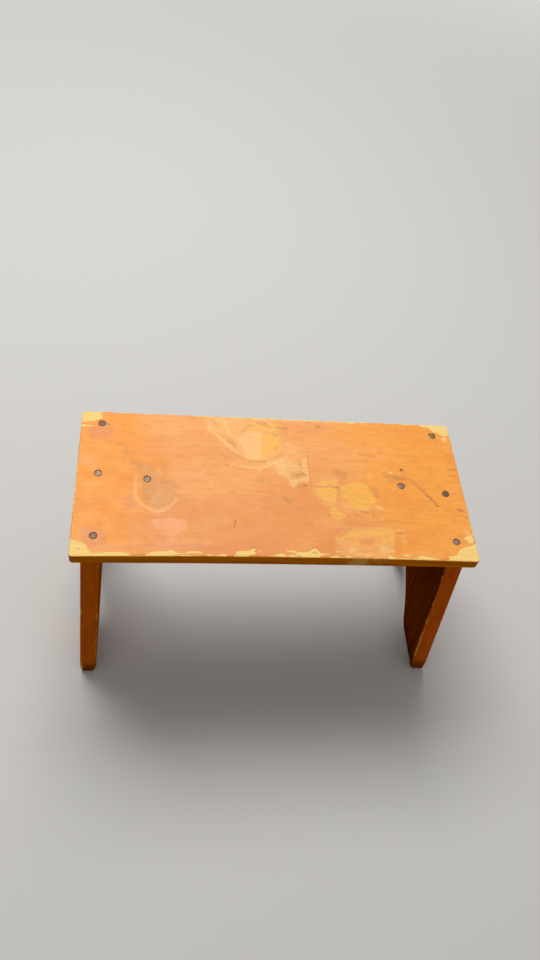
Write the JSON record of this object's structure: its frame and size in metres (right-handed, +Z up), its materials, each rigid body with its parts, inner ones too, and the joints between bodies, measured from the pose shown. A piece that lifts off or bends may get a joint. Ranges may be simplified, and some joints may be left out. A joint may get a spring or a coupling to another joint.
{
  "type": "shoe fitting stool",
  "caption": "Low wooden stool: an oblong plank seat nailed to two splayed plank legs with pointed arch cut-outs, and a stretcher on edge beneath.",
  "frame": {"origin": "on the floor, at the middle of the whole stool's outline seen from above", "axes": "+X along the seat towards the leg that splays more, +Y towards the back, +Z up"},
  "size_m": [0.417, 0.1996, 0.25],
  "materials": {
    "seat_wood": "worn orange varnish",
    "leg_wood": "orange brown varnish",
    "stretcher_wood": "orange brown varnish",
    "nail_steel": "dull, worn bright in the middle"
  },
  "bodies": {
    "root": {"seat_board": "seat_wood", "left_leg": "leg_wood", "right_leg": "leg_wood", "stretcher": "stretcher_wood", "left_front_seat_nail": "nail_steel", "left_middle_seat_nail": "nail_steel", "left_back_seat_nail": "nail_steel", "left_stretcher_top_nail": "nail_steel", "left_upper_stretcher_nail": "nail_steel", "left_lower_stretcher_nail": "nail_steel", "right_front_seat_nail": "nail_steel", "right_middle_seat_nail": "nail_steel", "right_back_seat_nail": "nail_steel", "right_stretcher_top_nail": "nail_steel", "right_upper_stretcher_nail": "nail_steel", "right_lower_stretcher_nail": "nail_steel"}
  },
  "joints": []
}
